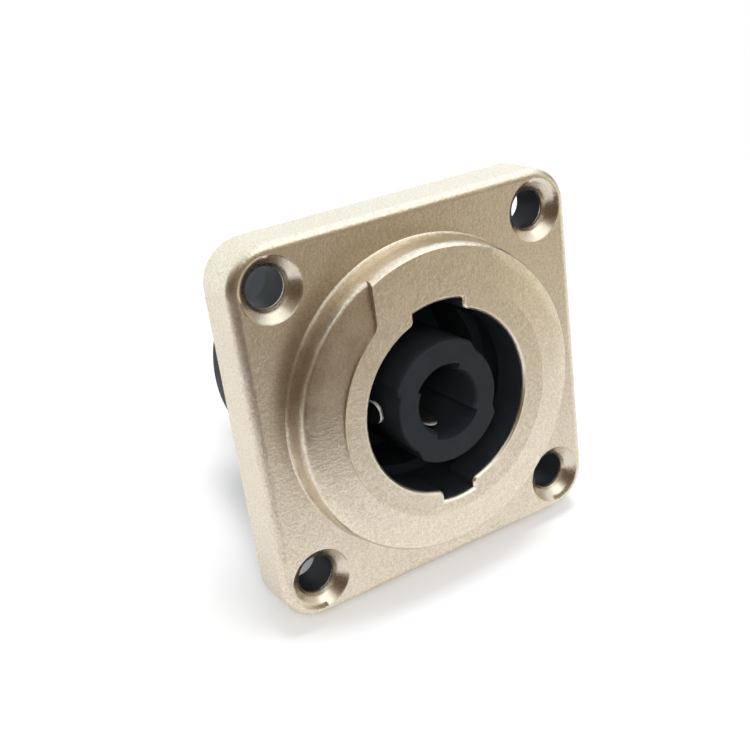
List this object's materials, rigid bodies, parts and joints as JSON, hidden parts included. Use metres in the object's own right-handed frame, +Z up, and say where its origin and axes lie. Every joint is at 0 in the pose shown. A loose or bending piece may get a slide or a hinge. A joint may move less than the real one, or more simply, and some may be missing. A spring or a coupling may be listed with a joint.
{
  "type": "panel-mount twist-lock loudspeaker socket",
  "caption": "Square-flange panel socket with a raised disc, a keyed round mouth, a hollow contact core and blade terminals behind.",
  "frame": {"origin": "centre of the four screw holes on the socket's axis, at the face of the panel that the flange sits on", "axes": "+Y along the socket's axis, through the panel towards the terminals, so the plug comes in from -Y; +Z up, through the wide key; +X to the right seen from the front"},
  "size_m": [0.0402, 0.035, 0.0402],
  "materials": {
    "satin_nickel": "fine-grained satin nickel plating on a zinc die casting",
    "black_moulding": "matt black glass-filled moulding",
    "plated_brass": "silver-coloured plating on brass strip"
  },
  "bodies": {
    "root": {"front_shell": "satin_nickel", "housing": "black_moulding", "contact_carrier": "black_moulding", "terminal_plate": "black_moulding", "contact_1_plus": "plated_brass", "contact_1_minus": "plated_brass", "contact_2_plus": "plated_brass", "contact_2_minus": "plated_brass"}
  },
  "joints": []
}
